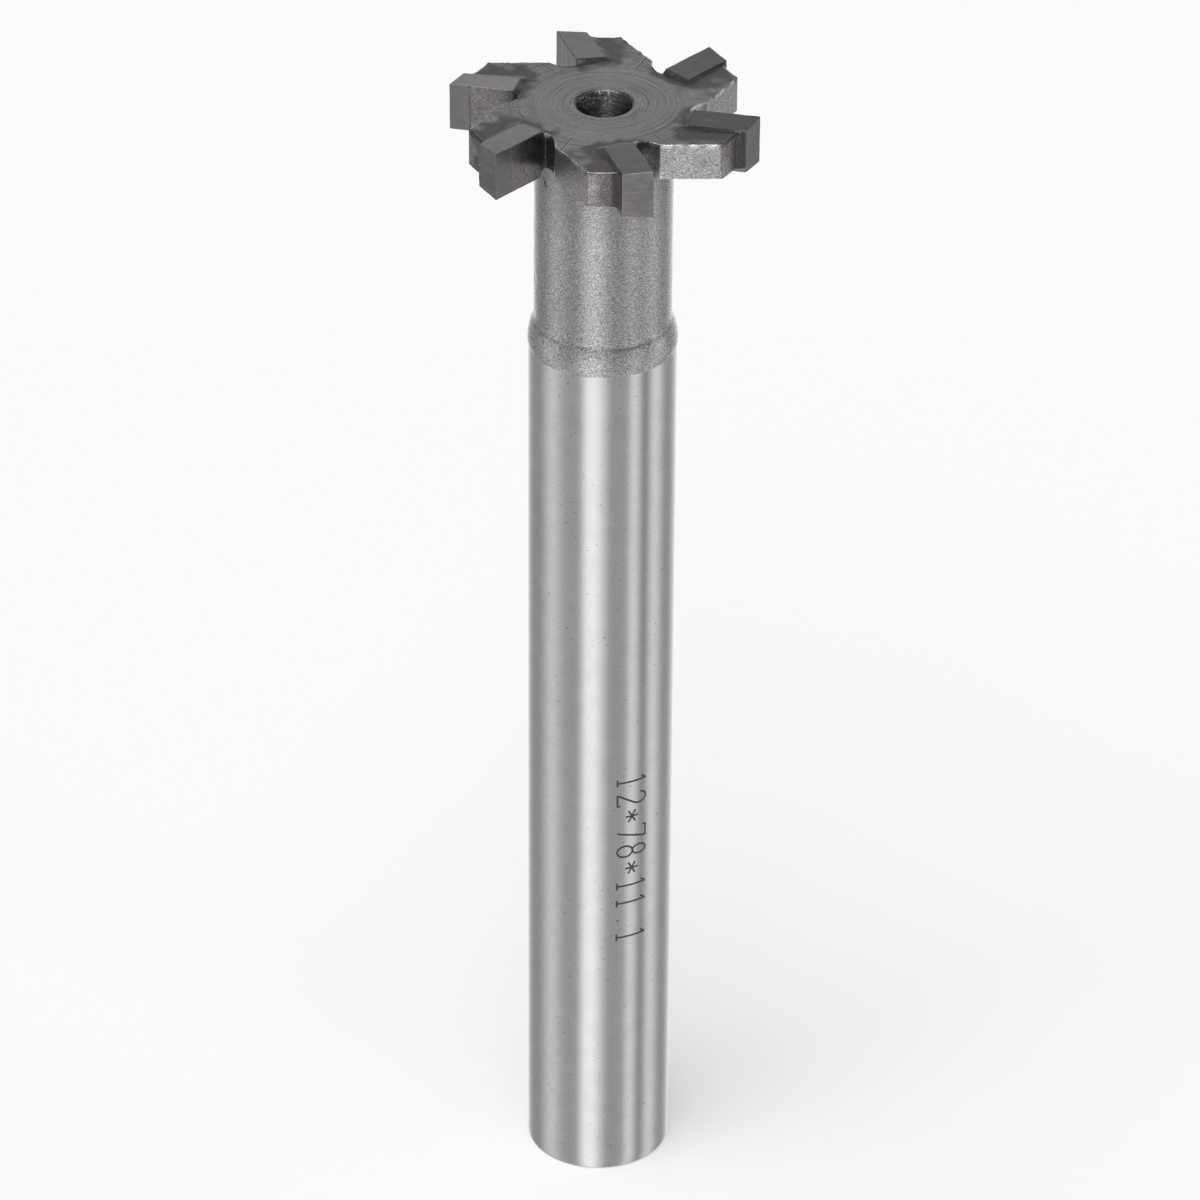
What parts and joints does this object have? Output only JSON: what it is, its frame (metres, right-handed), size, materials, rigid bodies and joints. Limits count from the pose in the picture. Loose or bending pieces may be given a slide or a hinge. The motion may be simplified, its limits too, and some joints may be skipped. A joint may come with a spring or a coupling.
{
  "type": "t slot cutter",
  "caption": "Right-hand T slot milling cutter: a plain round shank, a relieved neck and a thin toothed disc head with brazed carbide tips that mills the wide undercut of a T slot.",
  "frame": {"origin": "centre of the shank's end face, which the tool stands on", "axes": "+Z along the tool's axis towards the cutting head; +X in the plane of the first tip's front face; the tool cuts turning anticlockwise seen from above"},
  "size_m": [0.025, 0.023, 0.1],
  "materials": {
    "tool_steel": "ground shank, blasted neck and gullets, fine-turned head",
    "carbide": "ground cemented carbide, satin dark grey",
    "braze": "dark blasted silver braze with heat tint"
  },
  "bodies": {
    "root": {"cutter_body": "tool_steel", "carbide_tip_1": "carbide", "carbide_tip_2": "carbide", "carbide_tip_3": "carbide", "carbide_tip_4": "carbide", "carbide_tip_5": "carbide", "carbide_tip_6": "carbide", "braze_joint_1": "braze", "braze_joint_2": "braze", "braze_joint_3": "braze", "braze_joint_4": "braze", "braze_joint_5": "braze", "braze_joint_6": "braze"}
  },
  "joints": []
}
